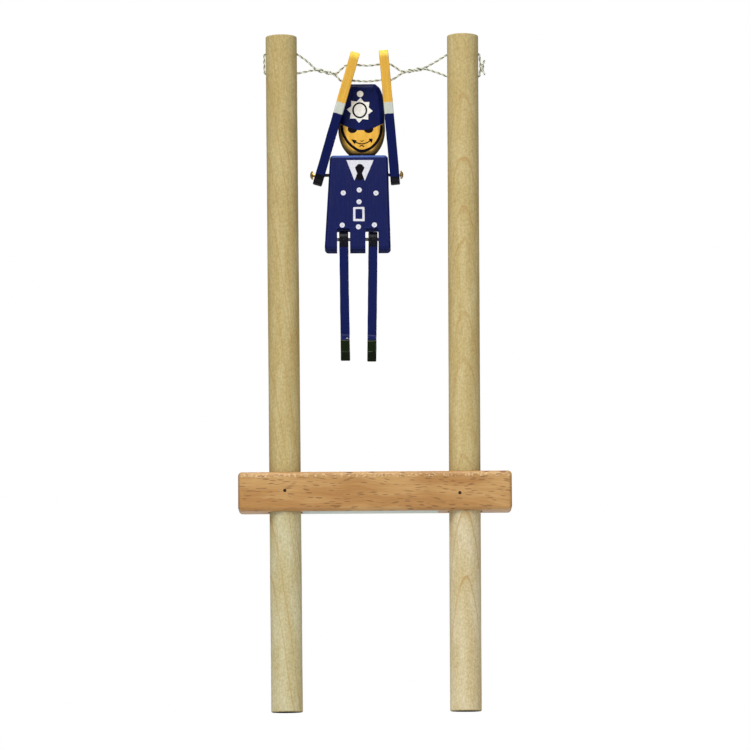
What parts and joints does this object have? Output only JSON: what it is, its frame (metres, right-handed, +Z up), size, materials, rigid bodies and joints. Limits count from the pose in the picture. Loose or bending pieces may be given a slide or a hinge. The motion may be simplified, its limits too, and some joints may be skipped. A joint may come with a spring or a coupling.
{
  "type": "squeeze acrobat toy",
  "caption": "Jointed wooden figure hung by its hands on a twisted cord loop between two sticks that turn in a cross bar.",
  "frame": {"origin": "bottom centre of the object's box, on the surface that the two sticks stand on; the sticks' plane is Y = -2.583 mm", "axes": "+Z up along the sticks, +X from the left stick to the right stick as the viewer sees them, -Y towards the viewer, the way the figure faces"},
  "size_m": [0.104, 0.0202, 0.26],
  "materials": {
    "birch": "plain sanded birch dowel",
    "beech": "oiled beech with short dark flecks",
    "painted_wood": "semi-gloss navy, black, white and flesh paint on wood",
    "painted_face": "semi-gloss printed face and helmet on wood",
    "brass": "bright brass nail",
    "steel": "plain steel wire",
    "twine": "two-ply cotton twine"
  },
  "bodies": {
    "frame": {"cross_bar": "beech", "pivot_nail_left": "steel", "pivot_nail_right": "steel", "cord_loop": "twine"},
    "left_stick": {"stick_left": "birch"},
    "right_stick": {"stick_right": "birch"},
    "left_arm": {"arm_left": "painted_wood"},
    "figure": {"torso": "painted_wood", "head": "painted_face", "neck_peg": "birch", "shoulder_nail_left": "brass", "shoulder_nail_right": "brass", "hip_pin": "steel"},
    "right_arm": {"arm_right": "painted_wood"},
    "left_leg": {"leg_left": "painted_wood"},
    "right_leg": {"leg_right": "painted_wood"}
  },
  "joints": [
    {"name": "left_stick_rock", "type": "hinge", "parent": "frame", "child": "left_stick", "pos_m": [-0.0342, -0.00258, 0.0838], "axis": [0, -1, 0], "range_deg": [-1, 1], "deforming": ["cord_loop"]},
    {"name": "right_stick_rock", "type": "hinge", "parent": "frame", "child": "right_stick", "pos_m": [0.0322, -0.00258, 0.0825], "axis": [0, 1, 0], "range_deg": [-1, 1]},
    {"name": "figure_spin", "type": "hinge", "parent": "frame", "child": "left_arm", "pos_m": [0, -0.00258, 0.2458], "axis": [1, 0, 0], "continuous": true},
    {"name": "left_shoulder", "type": "hinge", "parent": "left_arm", "child": "figure", "pos_m": [0, 0.00426, 0.207], "axis": [-1, 0, 0], "range_deg": [0, 85]},
    {"name": "right_shoulder", "type": "hinge", "parent": "figure", "child": "right_arm", "pos_m": [0, 0.00426, 0.207], "axis": [1, 0, 0], "range_deg": [0, 85]},
    {"name": "left_hip", "type": "hinge", "parent": "figure", "child": "left_leg", "pos_m": [0, 0.00249, 0.18166], "axis": [-1, 0, 0], "range_deg": [-80, 80]},
    {"name": "right_hip", "type": "hinge", "parent": "figure", "child": "right_leg", "pos_m": [0, 0.00249, 0.18166], "axis": [-1, 0, 0], "range_deg": [-80, 80]}
  ],
  "couplings": [
    {"joint": "right_stick_rock", "follows": "left_stick_rock", "ratio": 1},
    {"joint": "right_shoulder", "follows": "left_shoulder", "ratio": 1}
  ]
}
